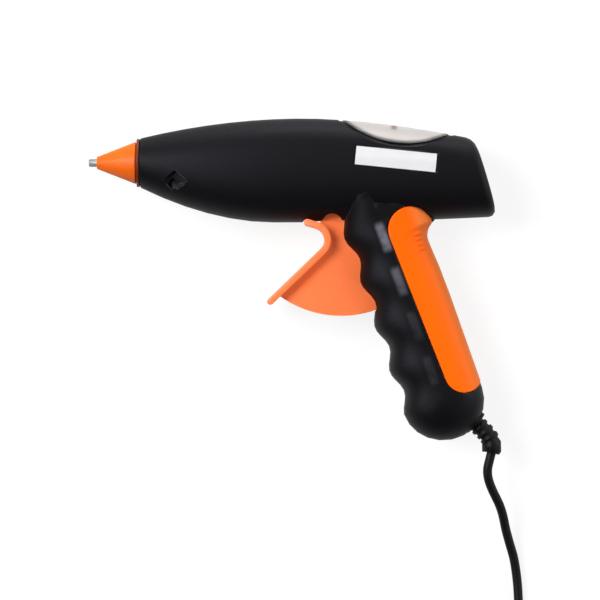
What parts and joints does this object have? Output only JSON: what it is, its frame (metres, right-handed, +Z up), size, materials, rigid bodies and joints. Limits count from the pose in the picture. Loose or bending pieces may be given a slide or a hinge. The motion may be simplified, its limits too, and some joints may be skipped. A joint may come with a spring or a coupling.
{
  "type": "hot glue gun",
  "caption": "Pistol-grip hot glue gun with a squeeze trigger that feeds a glue stick through a heated chamber, a soft grip insert, a clear window and a coiled mains cord.",
  "frame": {"origin": "point on the table below the middle of the gun, without its cord, as it lies on its right side", "axes": "+X from the nozzle to the rear along the glue stick, +Y from the grip up to the barrel, +Z up from the table to the gun's left side"},
  "size_m": [0.2183, 0.3347, 0.04],
  "materials": {
    "black_housing": "satin moulded black plastic",
    "grip_rubber": "soft matte orange elastomer",
    "clear_plastic": "milky clear plastic",
    "nozzle_metal": "turned",
    "silicone_orange": "soft matte silicone",
    "cast_aluminium": "as cast",
    "heater_ceramic": "unglazed",
    "spring_steel": "bright",
    "screw_steel": "zinc plated",
    "phenolic": "moulded heat-proof plastic",
    "silicone_red": "soft matte silicone",
    "carriage_plastic": "moulded",
    "trigger_plastic": "satin moulded orange plastic",
    "lamp_glass": "clear",
    "wire_sleeving": "matte",
    "cord_rubber": "matte black",
    "plug_nickel": "nickel plated"
  },
  "bodies": {
    "housing": {"housing_left": "black_housing", "housing_right": "black_housing", "grip_insert": "grip_rubber", "window": "clear_plastic", "nozzle": "nozzle_metal", "nozzle_sleeve": "silicone_orange", "melt_chamber": "cast_aluminium", "heater": "heater_ceramic", "heater_clip": "spring_steel", "front_spacer": "phenolic", "rear_spacer": "phenolic", "stick_sleeve": "silicone_red", "sleeve_clip": "spring_steel", "pivot_pin": "spring_steel", "return_spring": "spring_steel", "rear_guide": "black_housing", "pilot_lamp": "lamp_glass", "lead_wires": "wire_sleeving", "terminal_block": "phenolic", "inner_cord": "cord_rubber", "cord_clamp": "black_housing", "clamp_screws": "screw_steel", "case_screws": "screw_steel", "cord_boot": "cord_rubber", "cord": "cord_rubber", "cord_coil": "cord_rubber", "cord_tail": "cord_rubber", "cord_tie": "cord_rubber", "plug_body": "cord_rubber", "plug_pins": "plug_nickel"},
    "trigger": {"trigger": "trigger_plastic"},
    "carriage": {"feed_carriage": "carriage_plastic", "claw_pin": "spring_steel"},
    "claw": {"grip_claw": "screw_steel"}
  },
  "joints": [
    {"name": "trigger_pivot", "type": "hinge", "parent": "housing", "child": "trigger", "pos_m": [0.02459, 0.03417, 0.02], "axis": [0, 0, 1], "range_deg": [0, 26], "stiffness_Nm_per_rad": 0.8, "springref_deg": -14.32},
    {"name": "carriage_slide", "type": "slide", "parent": "housing", "child": "carriage", "axis": [1, 0, 0], "range_m": [-0.0112, 0], "deforming": ["return_spring"]},
    {"name": "claw_tilt", "type": "hinge", "parent": "carriage", "child": "claw", "pos_m": [0.02713, 0.07018, 0.02], "axis": [0, 0, 1], "range_deg": [-6.6, 0]}
  ],
  "couplings": [
    {"joint": "carriage_slide", "follows": "trigger_pivot", "m_per_rad": -0.02442},
    {"joint": "claw_tilt", "follows": "trigger_pivot", "ratio": -0.25}
  ]
}
